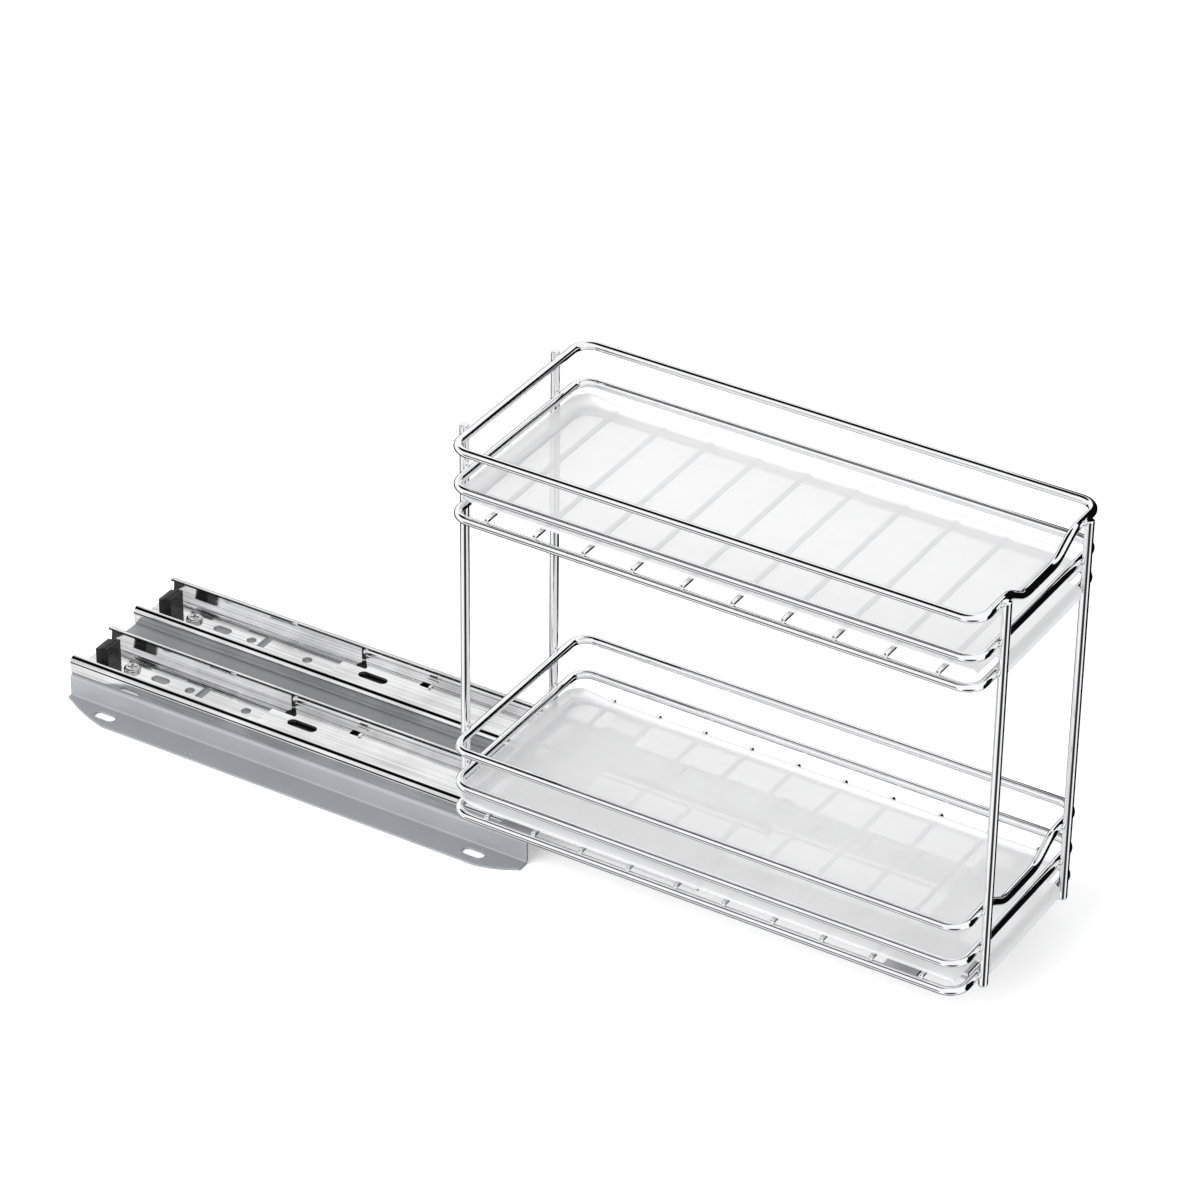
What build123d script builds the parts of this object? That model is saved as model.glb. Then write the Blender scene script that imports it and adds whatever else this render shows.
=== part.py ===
from build123d import *
from math import cos, radians, tan
import os

os.makedirs("parts", exist_ok=True)

# Lengths are in millimetres. X is the way the rack pulls out, Y runs across it and Z is up.
# The origin is the centre of the four cabinet screw slots, on the underside of the bracket's flanges.
# The rack is drawn pulled out, and the joint's travel brings it back over the bracket.

# Length that the slides share with their bracket
slide_length = 250

# Bracket that is screwed to the cabinet floor
bracket_sheet = 1.2
bracket_height = 12
bracket_web_width = 85
bracket_width = 112
bracket_bend = 0.8
rear_cut_length = 27
rear_cut_depth = 11.6
front_cut_length = 19
front_cut_depth = 8
cut_bulge = 1.2
slot_inset = 24
slot_spacing_y = 98
slot_length = 11
slot_width = 5

# Ball races shared by the three members of a slide
slide_spacing = 50
slide_width = 34
slide_sheet = 1.2
race_clearance = 0.08
outer_ball = 3.175
inner_ball = 2.5

# Outer member, fixed on the bracket
outer_height = 9.1
outer_side_step = 0.6
lip_opening = 26.6
outer_bend = 1.4
outer_inside_bend = 0.7
slide_screw_inset = 23
screw_head = 8
screw_head_height = 1.8
screw_head_round = 1.08
screw_recess_depth = 1.08
screw_recess_span = 4
screw_recess_width = 1
screw_shank = 4
screw_length = 5
screw_hole_clearance = 0.1
screw_facing = 30
outer_slot_from_rear = 39
outer_slot_length = 9.5
outer_slot_width = 5
outer_hole = 4.7
outer_holes_from_rear = (55.5, 87)
lance_from_rear = 63.8
lance_width = 4
lance_near_reach = 2.5
lance_far_reach = 6.8
lance_return = 14
lance_return_width = 1.2
lip_notch_from_rear = 71
lip_notch_length = 3

# Middle member
middle_shortfall = 14
middle_tongue = 7.8
middle_tongue_width = 8.4
middle_near_lead = 1.7
middle_notch_depth = 4.6
middle_notch_width = 1.7
middle_height = 5.1
middle_width = 25.8
middle_wall = 1.4
middle_pull = {"near": 98.8, "far": 104.3}
middle_head_clearance = 0.2
middle_slot_from_rear = 19.4
middle_slot_length = 15.4
middle_slot_width = 5
stop_from_rear = 43.4
stop_offset = 8
stop_length = 5
stop_width = 3.6
stop_height = 0.8

# Inner member, bolted to the rack
inner_pull = 216
inner_width = 19
inner_flange_height = 3.8
inner_race_depth = 0.3
inner_race_drop = 0.15

# Ball cages
cage_sheet = 0.6
cage_floor_gap = 0.4
cage_top_gap = 0.3
cage_end_margin = 2.4
cage_web_setback = 1
cage_web_gap = 2
cage_web_corner = 3.5
cage_end_cut = 5
outer_cage_length = 93
outer_cage_setback = 4
outer_ball_pitch = 8
inner_cage_length = 78
inner_cage_sheet = 0.5
inner_cage_floor_gap = 0.3
inner_cage_height = 3
inner_ball_pitch = 8

# Bumpers in the outer members' rear ends
bumper_length = 7
bumper_width = 10
bumper_height = 10.4
bumper_rear_inset = 6
bumper_top_length = 3.2
bumper_slope_length = 1.3
bumper_slope_drop = 1.4
bumper_step_drop = 0.3
bumper_round = 0.8
bumper_groove = 0.8

# Basket wires
basket_ahead = 3.5
loop_overhang = 1.3
loop_half_width = 53.36
loop_corner = 8.35
wire = 4
weld_sink = 0.4
lower_bottom_z = 23.57
mid_rise = 14.55
top_rise = 33.5
tier_rise = 153.87
dip = 8
dip_flat = 29
dip_ramp = 14
dip_bend = 18
post_wire = 4.2
post_y = 36.8
post_top_z = 213.4
front_post_bottom_z = 19.66
rear_post_gap = 0.7
post_tip_round = 1.2
post_top_round = 0.5
rung_wire = 2.3
rung_count = 10
rung_end_gap = 17.625
rung_sink = 0.1
rung_near_overhang = 0.2
rung_far_overhang = 2
rung_tip_round = 0.3

# Straps that join the rack to the inner members
plate_inset = 29.8
plate_length = 16
plate_sheet = 1.5
plate_clearance = 0.3
plate_corner = 1.5
plate_screw_length = 4.9
plate_screw_facing = 15

# Shelf liners
liner_wall = 1.2
liner_seat_gap = 0.05
liner_shift = {"lower": -2.2, "upper": 1.7}
liner_rear_inset = 4
liner_floor_width = 99.3
liner_corner = 7
liner_side_rim = 3.1
liner_side_flare = 29
liner_rear_rim = 4.7
liner_rear_flare = 48
liner_rim_ramp = 14
liner_front_gap = 0.5
lip_width = 66
lip_clearance = 1.1
lip_bend = 2.2
lip_drop = 6

# Derived lengths and places along X
bracket_length = slide_length
outer_length = slide_length
inner_length = slide_length
middle_length = slide_length - middle_shortfall
slot_spacing_x = bracket_length - 2 * slot_inset
outer_rear_x = -outer_length / 2
outer_screw_x = outer_length / 2 - slide_screw_inset
middle_rear_x = {side: outer_rear_x + pull for side, pull in middle_pull.items()}
inner_rear_x = outer_rear_x + inner_pull
basket_center_x = inner_rear_x + inner_length / 2 + basket_ahead
loop_half_length = inner_length / 2 + loop_overhang
plate_offset_x = loop_half_length - plate_inset
liner_rear_reach = loop_half_length - liner_rear_inset
rung_pitch = 2 * (loop_half_length - rung_end_gap) / (rung_count - 1)

# Derived slide sections: heights are measured from the bracket's top face
outer_race = outer_ball / 2 + race_clearance
inner_race = inner_ball / 2 + race_clearance
race_y = slide_width / 2 - slide_sheet - outer_race
race_z = outer_height - slide_sheet - outer_race
outer_side = slide_width / 2 - outer_side_step
middle_floor_z = slide_sheet + screw_head_height + middle_head_clearance
inner_race_y = middle_width / 2 - middle_wall + inner_race_depth - inner_race
inner_top_z = outer_height + plate_clearance
inner_bottom_z = inner_top_z - inner_flange_height
inner_race_z = (inner_bottom_z + inner_top_z - slide_sheet) / 2 - inner_race_drop
inner_cage_z = middle_floor_z + slide_sheet + inner_cage_floor_gap

# Derived rack levels
plate_z = bracket_height + inner_top_z
post_x = loop_half_length + wire / 2 + post_wire / 2 - weld_sink
rear_post_bottom_z = bracket_height + outer_height + rear_post_gap
rung_rise = wire / 2 + rung_wire / 2 - rung_sink
liner_rise = rung_rise + rung_wire / 2 + liner_seat_gap
tiers = {"lower": lower_bottom_z, "upper": lower_bottom_z + tier_rise}
slides = {"near": -slide_spacing / 2, "far": slide_spacing / 2}
plates = {"rear": -plate_offset_x, "front": plate_offset_x}


def save(part, name):
    part.part.label = name
    export_step(part.part, f"parts/{name}.step")


def slide_section(x, slide_y):
    """Plane across a slide at x, with its own X along Y and its own Y up from the bracket's top."""
    return Plane(origin=(x, slide_y, bracket_height), x_dir=(0, 1, 0), z_dir=(1, 0, 0))


def slide_plan(slide_y, height):
    """Level plane over a slide's middle line, at a height above the bracket's top."""
    return Plane(origin=(0, slide_y, bracket_height + height))


def race_circles(offset, height, radius, mode):
    with Locations((-offset, height), (offset, height)):
        Circle(radius, mode=mode)


# Bracket: a bent sheet with its outline cut back at the flanges' ends
with BuildPart() as base_bracket:
    with BuildSketch(Plane.YZ.offset(-bracket_length / 2)):
        with BuildLine():
            web_inside = bracket_web_width / 2 - bracket_sheet
            web_under = bracket_height - bracket_sheet
            flange_bend = bracket_bend + bracket_sheet
            FilletPolyline(
                (-bracket_width / 2, 0),
                (-web_inside, 0),
                (-web_inside, web_under),
                (web_inside, web_under),
                (web_inside, 0),
                (bracket_width / 2, 0),
                radius=[flange_bend, bracket_bend, bracket_bend, flange_bend],
            )
            offset(amount=bracket_sheet, side=Side.LEFT)
        make_face()
    extrude(amount=bracket_length)
    with BuildSketch():
        with BuildLine():
            half = bracket_length / 2
            edge = bracket_width / 2
            rear_tip = (-half, edge - rear_cut_depth)
            rear_full = (-half + rear_cut_length, edge)
            rear_bulge = (-half + rear_cut_length / 2, edge - rear_cut_depth / 2 + cut_bulge)
            front_full = (half - front_cut_length, edge)
            front_tip = (half, edge - front_cut_depth)
            front_bulge = (half - front_cut_length / 2, edge - front_cut_depth / 2 + cut_bulge)
            Line((-half, 0), rear_tip)
            ThreePointArc(rear_tip, rear_bulge, rear_full)
            Line(rear_full, front_full)
            ThreePointArc(front_full, front_bulge, front_tip)
            Line(front_tip, (half, 0))
            Line((half, 0), (-half, 0))
        make_face()
        mirror(about=Plane.XZ)
    extrude(amount=bracket_height, mode=Mode.INTERSECT)
    with BuildSketch():
        with GridLocations(slot_spacing_x, slot_spacing_y, 2, 2):
            SlotOverall(slot_length, slot_width)
    extrude(amount=bracket_sheet, mode=Mode.SUBTRACT)
    with BuildSketch(Plane.XY.offset(bracket_height)):
        with GridLocations(2 * outer_screw_x, slide_spacing, 2, 2):
            Circle(screw_shank / 2 + screw_hole_clearance)
    extrude(amount=-bracket_sheet, mode=Mode.SUBTRACT)
save(base_bracket, "base_bracket")


# Outer members: a channel whose sides bulge and curl over the balls
for side, slide_y in slides.items():
    with BuildPart() as outer_member:
        with BuildSketch(slide_section(outer_rear_x, slide_y)) as section:
            Rectangle(2 * outer_side, race_z, align=(Align.CENTER, Align.MIN))
            fillet(section.vertices().group_by(Axis.Y)[0], outer_bend)
            race_circles(race_y, race_z, outer_race + slide_sheet, Mode.ADD)
            with BuildSketch(mode=Mode.SUBTRACT) as hollow:
                with Locations((0, slide_sheet)):
                    Rectangle(
                        2 * (outer_side - slide_sheet),
                        race_z - slide_sheet,
                        align=(Align.CENTER, Align.MIN),
                    )
                fillet(hollow.vertices().group_by(Axis.Y)[0], outer_inside_bend)
            race_circles(race_y, race_z, outer_race, Mode.SUBTRACT)
            with Locations((0, slide_sheet + outer_bend)):
                Rectangle(
                    lip_opening, outer_height, align=(Align.CENTER, Align.MIN), mode=Mode.SUBTRACT
                )
        extrude(amount=outer_length)
        with BuildSketch(slide_plan(slide_y, 0)):
            with Locations((-outer_screw_x, 0), (outer_screw_x, 0)):
                Circle(screw_shank / 2 + screw_hole_clearance)
            with Locations((outer_rear_x + outer_slot_from_rear, 0)):
                SlotOverall(outer_slot_length, outer_slot_width)
            with Locations([(outer_rear_x + rear, 0) for rear in outer_holes_from_rear]):
                Circle(outer_hole / 2)
            with Locations((outer_rear_x + lance_from_rear, lance_far_reach)):
                Rectangle(
                    lance_width, lance_near_reach + lance_far_reach, align=(Align.MAX, Align.MAX)
                )
                Rectangle(lance_return, lance_return_width, align=(Align.MAX, Align.MAX))
        extrude(amount=slide_sheet, mode=Mode.SUBTRACT)
        with BuildSketch(slide_plan(slide_y, race_z)):
            with Locations((outer_rear_x + lip_notch_from_rear, lip_opening / 2)):
                Rectangle(lip_notch_length, slide_sheet, align=(Align.CENTER, Align.CENTER))
        extrude(amount=outer_height - race_z, mode=Mode.SUBTRACT)
    save(outer_member, f"outer_member_{side}")


# Bumpers: a block on the outer member's floor, stepped down to the rear, with a groove on top
for side, slide_y in slides.items():
    with BuildPart() as bumper:
        rear_x = outer_rear_x + bumper_rear_inset
        front_x = rear_x + bumper_length
        top_z = slide_sheet + bumper_height
        slope_x = front_x - bumper_top_length
        step_x = slope_x - bumper_slope_length
        step_z = top_z - bumper_slope_drop
        side_plane = Plane(origin=(0, slide_y, bracket_height), x_dir=(1, 0, 0), z_dir=(0, -1, 0))
        with BuildSketch(side_plane):
            with BuildLine():
                Polyline(
                    (front_x, slide_sheet),
                    (front_x, top_z),
                    (slope_x, top_z),
                    (step_x, step_z),
                    (rear_x, step_z - bumper_step_drop),
                    (rear_x, slide_sheet),
                    close=True,
                )
            make_face()
        extrude(amount=bumper_width / 2, both=True)
        fillet(bumper.edges().filter_by(Axis.Y).group_by(Axis.Z)[-1], bumper_round)
        fillet(bumper.edges().filter_by(Axis.Z), bumper_round)
        with BuildSketch(side_plane):
            with Locations((front_x - bumper_top_length / 2, top_z)):
                Circle(bumper_groove / 2)
        extrude(amount=bumper_width, both=True, mode=Mode.SUBTRACT)
    save(bumper, f"bumper_{side}")


# Screws that hold the outer members down: a domed head with a crossed recess
def pan_screw(name, points, seat_z, length, facing):
    with BuildPart() as screw:
        with BuildSketch(Plane.XY.offset(seat_z)):
            with Locations(points):
                Circle(screw_head / 2)
        extrude(amount=screw_head_height)
        fillet(screw.faces().sort_by(Axis.Z)[-len(points):].edges(), screw_head_round)
        with BuildSketch(Plane.XY.offset(seat_z + screw_head_height)):
            with Locations(points):
                with Locations(Rotation(0, 0, facing)):
                    Rectangle(screw_recess_span, screw_recess_width)
                    Rectangle(screw_recess_width, screw_recess_span)
        extrude(amount=-screw_recess_depth, mode=Mode.SUBTRACT)
        with BuildSketch(Plane.XY.offset(seat_z)):
            with Locations(points):
                Circle(screw_shank / 2)
        extrude(amount=-length)
    save(screw, name)


outer_screw_points = [(x, y) for x in (-outer_screw_x, outer_screw_x) for y in slides.values()]
outer_screw_seat_z = bracket_height + slide_sheet
pan_screw("outer_member_screws", outer_screw_points, outer_screw_seat_z, screw_length, screw_facing)


# Middle members: a channel grooved on both sides of its flanges, whose far flange starts ahead of a tongue
for side, slide_y in slides.items():
    rear_x = middle_rear_x[side]
    with BuildPart() as middle_member:
        with BuildSketch(slide_section(rear_x - middle_near_lead, slide_y)) as section:
            with Locations((0, middle_floor_z)):
                Rectangle(middle_width, middle_height, align=(Align.CENTER, Align.MIN))
            fillet(section.vertices().group_by(Axis.Y)[0], slide_sheet / 2)
            with Locations((0, middle_floor_z + slide_sheet)):
                Rectangle(
                    middle_width - 2 * middle_wall,
                    middle_height,
                    align=(Align.CENTER, Align.MIN),
                    mode=Mode.SUBTRACT,
                )
            race_circles(race_y, race_z, outer_race, Mode.SUBTRACT)
            race_circles(inner_race_y, inner_race_z, inner_race, Mode.SUBTRACT)
        extrude(amount=middle_length + middle_near_lead)
        with BuildSketch(slide_plan(slide_y, middle_floor_z)):
            near_wall_y = middle_wall - middle_width / 2
            notch_y = middle_tongue_width / 2
            with Locations((rear_x, near_wall_y)):
                Rectangle(middle_near_lead, middle_width, align=(Align.MAX, Align.MIN))
            with Locations((rear_x, notch_y)):
                Rectangle(middle_tongue, middle_width, align=Align.MIN)
        extrude(amount=middle_height, mode=Mode.SUBTRACT)
        with BuildSketch(slide_plan(slide_y, middle_floor_z)):
            with BuildLine():
                flange_x = rear_x + middle_tongue
                notch_x = flange_x + middle_notch_depth
                Polyline(
                    (flange_x, notch_y),
                    (flange_x, middle_width / 2 - middle_wall),
                    (notch_x, notch_y + middle_notch_width),
                    (notch_x, notch_y),
                    close=True,
                )
            make_face()
            with Locations((rear_x + middle_slot_from_rear, 0)):
                SlotOverall(middle_slot_length, middle_slot_width)
            with Locations((rear_x + stop_from_rear, stop_offset)):
                Rectangle(stop_length, stop_width)
        extrude(amount=slide_sheet, mode=Mode.SUBTRACT)
        with BuildSketch(slide_plan(slide_y, middle_floor_z)):
            with Locations((rear_x + stop_from_rear + stop_length / 2, stop_offset)):
                Rectangle(slide_sheet, stop_width, align=(Align.MIN, Align.CENTER))
        extrude(amount=slide_sheet + stop_height)
    save(middle_member, f"middle_member_{side}")


# Inner members: an inverted channel with grooved flanges and two holes for the plates' screws
for side, slide_y in slides.items():
    with BuildPart() as inner_member:
        with BuildSketch(slide_section(inner_rear_x, slide_y)) as section:
            with Locations((0, inner_bottom_z)):
                Rectangle(inner_width, inner_flange_height, align=(Align.CENTER, Align.MIN))
            fillet(section.vertices().group_by(Axis.Y)[-1], slide_sheet / 2)
            with Locations((0, inner_bottom_z)):
                Rectangle(
                    inner_width - 2 * slide_sheet,
                    inner_flange_height - slide_sheet,
                    align=(Align.CENTER, Align.MIN),
                    mode=Mode.SUBTRACT,
                )
            race_circles(inner_race_y, inner_race_z, inner_race, Mode.SUBTRACT)
        extrude(amount=inner_length)
        with BuildSketch(slide_plan(slide_y, inner_top_z)):
            with Locations([(basket_center_x + x, 0) for x in plates.values()]):
                Circle(screw_shank / 2 + screw_hole_clearance)
        extrude(amount=-slide_sheet, mode=Mode.SUBTRACT)
    save(inner_member, f"inner_member_{side}")


# Ball cages: a strip with upturned sides that carry a row of balls in round pockets, and rounded ends
def ball_row(length, pitch):
    count = int((length - 2 * cage_end_margin) // pitch) + 1
    return [(i - (count - 1) / 2) * pitch for i in range(count)]


def cage_and_balls(name, side, rear_x, length, pitch, floor_z, top_z, sheet, row_y, row_z, ball):
    slide_y = slides[side]
    row = [rear_x + length / 2 + along for along in ball_row(length, pitch)]
    row_plane = Plane(origin=(0, slide_y, bracket_height + row_z), x_dir=(1, 0, 0), z_dir=(0, -1, 0))
    with BuildPart() as cage:
        with BuildSketch(slide_section(rear_x, slide_y)):
            with Locations((0, floor_z)):
                Rectangle(2 * row_y + sheet, top_z - floor_z, align=(Align.CENTER, Align.MIN))
            with Locations((0, floor_z + sheet)):
                Rectangle(
                    2 * row_y - sheet, top_z, align=(Align.CENTER, Align.MIN), mode=Mode.SUBTRACT
                )
        extrude(amount=length)
        with BuildSketch(row_plane):
            with Locations([(x, 0) for x in row]):
                Circle(ball / 2 + race_clearance)
        extrude(amount=row_y + sheet, both=True, mode=Mode.SUBTRACT)
        with BuildSketch(slide_plan(slide_y, floor_z)):
            ends = [(rear_x + along, 0) for along in (cage_end_cut / 2, length - cage_end_cut / 2)]
            with Locations(ends):
                Rectangle(cage_end_cut, 2 * row_y - sheet)
            with Locations((rear_x + length / 2, 0)):
                RectangleRounded(
                    length - 2 * cage_web_setback,
                    2 * (row_y - cage_web_gap),
                    cage_web_corner,
                    mode=Mode.SUBTRACT,
                )
        extrude(amount=sheet, mode=Mode.SUBTRACT)
    save(cage, f"{name}_cage_{side}")
    with BuildPart() as balls:
        with Locations(
            [(x, slide_y + across, bracket_height + row_z) for x in row for across in (-row_y, row_y)]
        ):
            Sphere(ball / 2)
    save(balls, f"{name}_balls_{side}")


for side in slides:
    cage_and_balls(
        "outer",
        side,
        middle_rear_x[side] + outer_cage_setback,
        outer_cage_length,
        outer_ball_pitch,
        slide_sheet + cage_floor_gap,
        outer_height - slide_sheet - cage_top_gap,
        cage_sheet,
        race_y,
        race_z,
        outer_ball,
    )
    cage_and_balls(
        "inner",
        side,
        (inner_rear_x + middle_rear_x[side] + middle_length - inner_cage_length) / 2,
        inner_cage_length,
        inner_ball_pitch,
        inner_cage_z,
        inner_cage_z + inner_cage_height,
        inner_cage_sheet,
        inner_race_y,
        inner_race_z,
        inner_ball,
    )


# Cross plates: straps welded between the lower rails and bolted down to the inner members
for side, offset_x in plates.items():
    with BuildPart() as cross_plate:
        weld_rise = lower_bottom_z - plate_z - plate_sheet
        plate_half_width = loop_half_width - ((wire / 2) ** 2 - weld_rise**2) ** 0.5 + weld_sink
        with BuildSketch(Plane.XY.offset(plate_z)):
            with Locations((basket_center_x + offset_x, 0)):
                RectangleRounded(plate_length, 2 * plate_half_width, plate_corner)
            with Locations([(basket_center_x + offset_x, y) for y in slides.values()]):
                Circle(screw_shank / 2 + screw_hole_clearance, mode=Mode.SUBTRACT)
        extrude(amount=plate_sheet)
    save(cross_plate, f"cross_plate_{side}")

plate_screw_points = [
    (basket_center_x + x, y) for x in plates.values() for y in slides.values()
]
plate_screw_seat_z = plate_z + plate_sheet
pan_screw(
    "plate_screws", plate_screw_points, plate_screw_seat_z, plate_screw_length, plate_screw_facing
)


# Wire loops: a round wire bent to a closed rectangle, which may dip in the middle of its front end
def wire_loop(name, level, drop):
    front_x = basket_center_x + loop_half_length
    rear_x = basket_center_x - loop_half_length
    with BuildPart() as loop:
        with BuildLine() as path:
            if drop:
                low = dip_flat / 2
                high = low + dip_ramp
                FilletPolyline(
                    (rear_x, -loop_half_width, level),
                    (front_x, -loop_half_width, level),
                    (front_x, -high, level),
                    (front_x, -low, level - drop),
                    (front_x, low, level - drop),
                    (front_x, high, level),
                    (front_x, loop_half_width, level),
                    (rear_x, loop_half_width, level),
                    radius=[loop_corner] * 2 + [dip_bend] * 4 + [loop_corner] * 2,
                    close=True,
                )
            else:
                FilletPolyline(
                    (rear_x, -loop_half_width, level),
                    (front_x, -loop_half_width, level),
                    (front_x, loop_half_width, level),
                    (rear_x, loop_half_width, level),
                    radius=loop_corner,
                    close=True,
                )
        with BuildSketch(Plane(origin=path.line @ 0, z_dir=path.line % 0)):
            Circle(wire / 2)
        sweep()
    save(loop, name)


for tier, bottom_z in tiers.items():
    wire_loop(f"{tier}_bottom_loop", bottom_z, 0)
    wire_loop(f"{tier}_mid_loop", bottom_z + mid_rise, 0)
    wire_loop(f"{tier}_top_loop", bottom_z + top_rise, dip)


# Posts: upright wires welded to the outside of the loops' ends
post_ends = (("front", post_x, front_post_bottom_z), ("rear", -post_x, rear_post_bottom_z))
for end, end_x, bottom_z in post_ends:
    for side, y in (("near", -post_y), ("far", post_y)):
        with BuildPart() as post:
            with BuildSketch(Plane.XY.offset(bottom_z)):
                with Locations((basket_center_x + end_x, y)):
                    Circle(post_wire / 2)
            extrude(amount=post_top_z - bottom_z)
            fillet(post.edges().group_by(Axis.Z)[0], post_tip_round)
            fillet(post.edges().group_by(Axis.Z)[-1], post_top_round)
        save(post, f"post_{end}_{side}")


# Rungs: thin cross wires lying on the bottom loops, trimmed closer on the near side
for tier, bottom_z in tiers.items():
    for number in range(rung_count):
        rung_x = basket_center_x + (number - (rung_count - 1) / 2) * rung_pitch
        with BuildPart() as rung:
            with BuildSketch(Plane.XZ.offset(loop_half_width + rung_near_overhang)):
                with Locations((rung_x, bottom_z + rung_rise)):
                    Circle(rung_wire / 2)
            extrude(amount=-(2 * loop_half_width + rung_near_overhang + rung_far_overhang))
            fillet(rung.edges().filter_by(GeomType.CIRCLE), rung_tip_round)
        save(rung, f"{tier}_rung_{number + 1:02d}")


# Liners: a shallow tray with flared walls and no front wall, whose floor runs out into a curled lip
def flared_tray(center_y, floor_z, front_x, rear_inset, side_inset):
    """Solid of a tray's inside or outside, from its floor line up, running past the front."""
    rear_x = basket_center_x - liner_rear_reach + rear_inset
    low_length = front_x + 2 * liner_corner - rear_x
    low_width = liner_floor_width - 2 * side_inset
    rear_growth = liner_rear_rim * tan(radians(liner_rear_flare))
    side_growth = liner_rear_rim * tan(radians(liner_side_flare))
    with BuildPart() as tray:
        with BuildSketch(Plane.XY.offset(floor_z)):
            with Locations((rear_x + low_length / 2, center_y)):
                RectangleRounded(low_length, low_width, liner_corner)
        with BuildSketch(Plane.XY.offset(floor_z + liner_rear_rim)):
            with Locations((rear_x + low_length / 2, center_y)):
                RectangleRounded(
                    low_length + 2 * rear_growth, low_width + 2 * side_growth, liner_corner + side_growth
                )
        loft(ruled=True)
    return tray.part


def flare_inset(flare):
    """Step inwards from a flared wall's outside to its inside, at a floor line one wall higher."""
    angle = radians(flare)
    return liner_wall / cos(angle) - liner_wall * tan(angle)


for tier, bottom_z in tiers.items():
    center_y = liner_shift[tier]
    floor_z = bottom_z + liner_rise
    tray_front_x = basket_center_x + loop_half_length - wire / 2 - liner_front_gap
    ramp_top_x = basket_center_x - liner_rear_reach
    outside = flared_tray(center_y, floor_z, tray_front_x, 0, 0)
    inside = flared_tray(
        center_y,
        floor_z + liner_wall,
        tray_front_x,
        flare_inset(liner_rear_flare),
        flare_inset(liner_side_flare),
    )
    lip_out_x = basket_center_x + loop_half_length + wire / 2 + lip_clearance + liner_wall
    with BuildPart() as liner:
        add(outside)
        add(inside, mode=Mode.SUBTRACT)
        split(bisect_by=Plane.YZ.offset(tray_front_x), keep=Keep.BOTTOM)
        with BuildSketch(Plane.XZ):
            with BuildLine():
                Polyline(
                    (tray_front_x, floor_z + liner_side_rim),
                    (ramp_top_x + liner_rim_ramp, floor_z + liner_side_rim),
                    (ramp_top_x, floor_z + liner_rear_rim),
                    (ramp_top_x, floor_z + 2 * liner_rear_rim),
                    (tray_front_x, floor_z + 2 * liner_rear_rim),
                    close=True,
                )
            make_face()
        extrude(amount=liner_floor_width, both=True, mode=Mode.SUBTRACT)
        with BuildSketch(Plane.XZ):
            with BuildLine():
                FilletPolyline(
                    (tray_front_x - liner_corner, floor_z + liner_wall),
                    (lip_out_x, floor_z + liner_wall),
                    (lip_out_x, floor_z + liner_wall - lip_drop),
                    radius=lip_bend + liner_wall,
                )
                offset(amount=liner_wall, side=Side.RIGHT)
            make_face()
        extrude(amount=lip_width / 2, both=True)
    save(liner, f"{tier}_liner")
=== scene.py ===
from math import atan2, cos, radians, sin, tan

import bpy
import numpy as np
from mathutils import Matrix


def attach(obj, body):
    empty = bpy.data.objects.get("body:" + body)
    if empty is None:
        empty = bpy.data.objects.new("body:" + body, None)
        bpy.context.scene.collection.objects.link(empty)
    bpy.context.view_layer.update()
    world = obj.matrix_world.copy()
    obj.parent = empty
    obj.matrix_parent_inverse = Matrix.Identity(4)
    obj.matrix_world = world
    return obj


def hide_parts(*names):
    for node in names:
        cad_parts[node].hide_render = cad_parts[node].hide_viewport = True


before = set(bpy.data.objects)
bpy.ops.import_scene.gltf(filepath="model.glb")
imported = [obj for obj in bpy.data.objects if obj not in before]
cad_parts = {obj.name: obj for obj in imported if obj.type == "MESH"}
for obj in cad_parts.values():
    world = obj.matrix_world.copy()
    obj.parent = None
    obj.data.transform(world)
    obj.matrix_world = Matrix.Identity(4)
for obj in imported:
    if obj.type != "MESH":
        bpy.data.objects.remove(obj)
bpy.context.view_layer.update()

mm = 0.001  # every length below is in millimetres and is scaled when it goes into a mesh
past = 1  # how far a cutting shape reaches past the faces it goes through
scene = bpy.context.scene
slideSides = {"near": -25, "far": 25}


# Shapes as arrays


def arc(center, radius, start, end, steps):
    # point = center + radius * (cos a, sin a), with a going evenly from start to end in degrees
    # the normal is (cos a, sin a)
    angles = np.radians(np.linspace(start, end, steps))
    normals = np.stack([np.cos(angles), np.sin(angles)], axis=1)
    return np.array(center) + radius * normals, normals


def bentPath(corners, radii, closed, steps=24, margin=0.5):
    # at each corner with bend radius r and turning angle w, the bend starts r * tan(w / 2) before
    # the corner, and point(a) = start + r * (sin a * ahead + (1 - cos a) * inward), a from 0 to w
    # a point stands by the margin before and after each bend, so that shading changes only there
    corners = np.array(corners, dtype=float)
    count = len(corners)
    points, tangents = [], []
    for index, radius in enumerate(radii):
        here = corners[index]
        ahead = here - corners[index - 1]
        after = corners[(index + 1) % count] - here
        isEnd = not closed and index in (0, count - 1)
        ahead = after if isEnd and index == 0 else ahead
        after = ahead if isEnd else after
        ahead = ahead / np.linalg.norm(ahead)
        after = after / np.linalg.norm(after)
        turn = np.arccos(np.clip(ahead @ after, -1, 1))
        if isEnd or radius == 0 or turn < 1e-6:
            points.append(here[None])
            tangents.append(((ahead + after) / np.linalg.norm(ahead + after))[None])
            continue
        inward = after - (ahead @ after) * ahead
        inward = inward / np.linalg.norm(inward)
        start = here - radius * tan(turn / 2) * ahead
        end = here + radius * tan(turn / 2) * after
        angles = np.linspace(0, turn, steps)[:, None]
        bend = start + radius * (np.sin(angles) * ahead + (1 - np.cos(angles)) * inward)
        heading = np.cos(angles) * ahead + np.sin(angles) * inward
        points.append(np.concatenate([(start - margin * ahead)[None], bend, (end + margin * after)[None]]))
        tangents.append(np.concatenate([ahead[None], heading, after[None]]))
    return np.concatenate(points), np.concatenate(tangents)


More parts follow.
